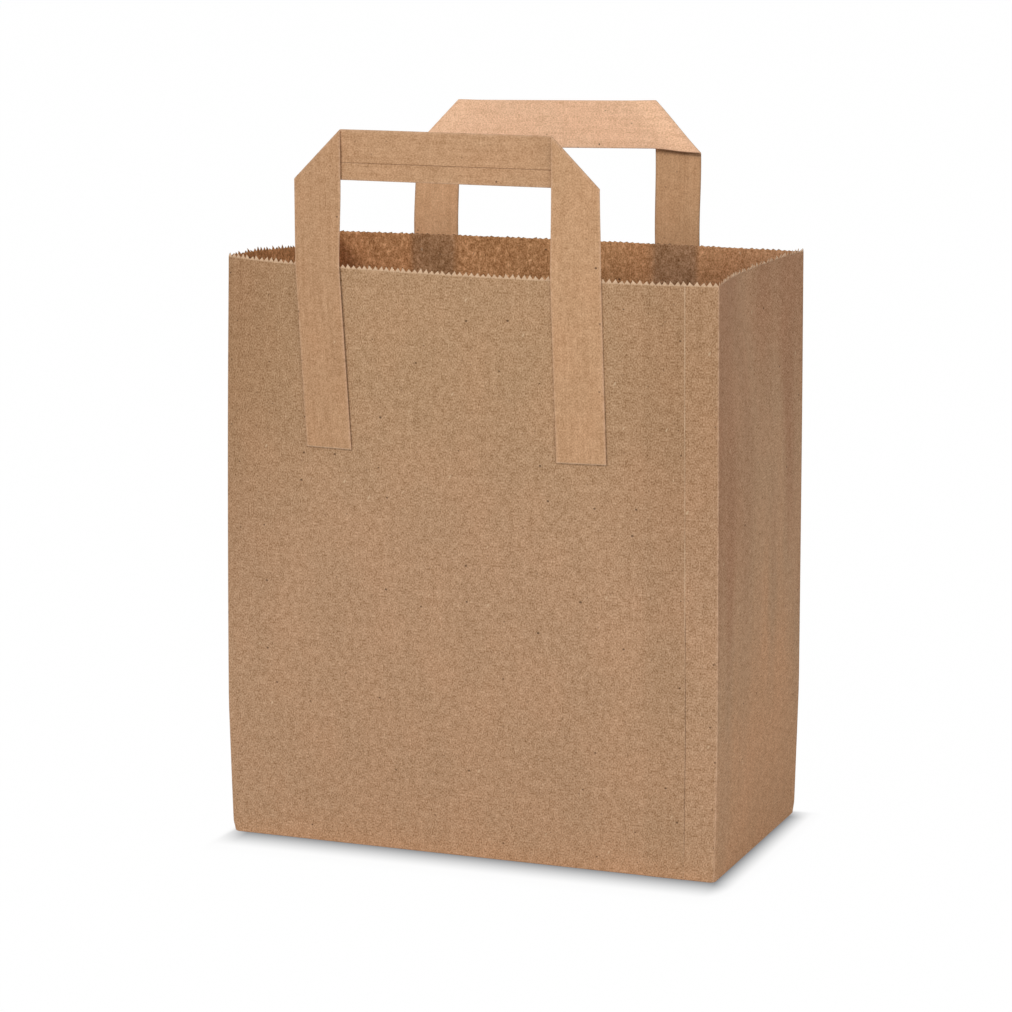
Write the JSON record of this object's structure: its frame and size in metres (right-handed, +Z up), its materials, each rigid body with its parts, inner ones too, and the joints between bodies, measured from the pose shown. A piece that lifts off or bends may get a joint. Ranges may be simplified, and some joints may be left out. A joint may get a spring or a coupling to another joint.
{
  "type": "paper carrier bag",
  "caption": "Free-standing brown kraft paper take-away carrier with a pinked open mouth, side gussets, a folded square base and flat tape handles.",
  "frame": {"origin": "on the surface that the bag stands on, at the centre of the folded base", "axes": "+Z up out of the mouth, -Y towards the front panel, +X to the right of someone facing the front panel"},
  "size_m": [0.218, 0.136, 0.305],
  "materials": {
    "kraft_sheet": "matt brown kraft paper",
    "kraft_tape": "matt, smoother and lighter kraft paper"
  },
  "bodies": {
    "root": {"bag_body": "kraft_sheet", "front_handle": "kraft_tape", "back_handle": "kraft_tape"}
  },
  "joints": []
}
